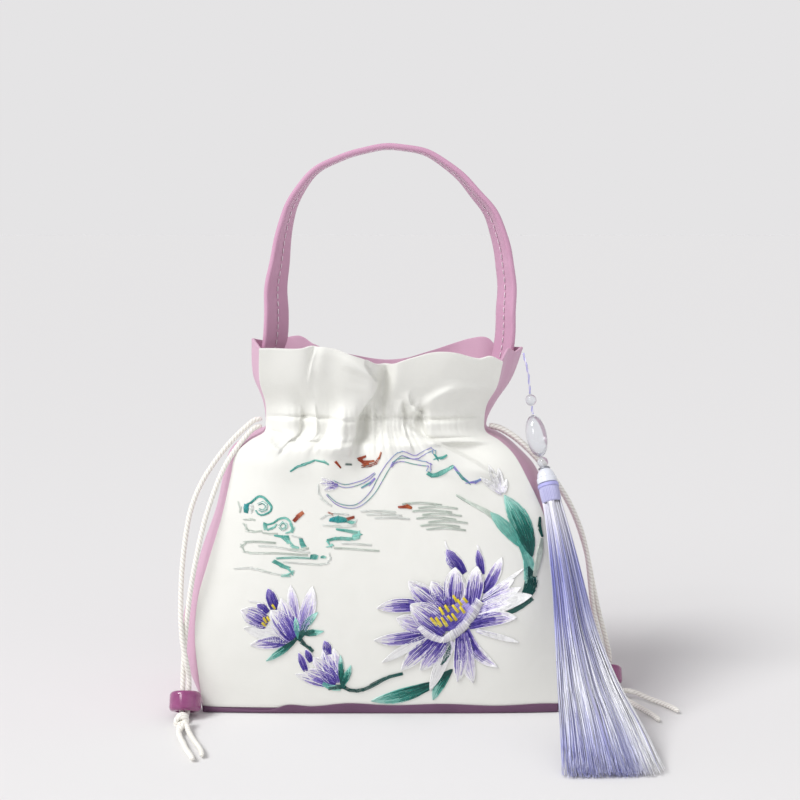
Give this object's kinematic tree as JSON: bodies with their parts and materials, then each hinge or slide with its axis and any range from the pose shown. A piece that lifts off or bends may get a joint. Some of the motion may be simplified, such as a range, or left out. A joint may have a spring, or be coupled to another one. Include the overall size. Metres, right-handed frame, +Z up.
{
  "type": "embroidered drawstring purse",
  "caption": "Small satin drawstring purse with a pleated neck, ruffled mouth, strap handle, beaded drawstring and a silk tassel, standing on its flat base.",
  "frame": {"origin": "centre of the underside of the base", "axes": "+X to the purse's right seen from the front, front towards -Y, +Z up"},
  "size_m": [0.286, 0.1802, 0.3176],
  "materials": {
    "white_satin": "satin",
    "pink_satin": "satin",
    "ivory_cord": "matte",
    "plum_resin": "gloss",
    "clear_bead": "gloss",
    "pearl_cap": "gloss",
    "lavender_thread": "satin"
  },
  "bodies": {
    "root": {"base_panel": "pink_satin", "front_panel": "white_satin", "back_panel": "pink_satin", "right_gusset": "pink_satin", "left_gusset": "pink_satin", "handle_strap": "pink_satin", "left_cord_outer": "ivory_cord", "left_cord_inner": "ivory_cord", "right_cord_outer": "ivory_cord", "right_cord_inner": "ivory_cord", "left_bead": "plum_resin", "right_bead": "plum_resin", "left_knot": "ivory_cord", "right_knot": "ivory_cord", "tassel_thread": "lavender_thread", "tassel_link": "lavender_thread", "tassel_bead": "clear_bead", "tassel_drop": "clear_bead", "tassel_neck_bead": "clear_bead", "tassel_cap": "pearl_cap", "tassel_skirt": "lavender_thread"}
  },
  "joints": []
}
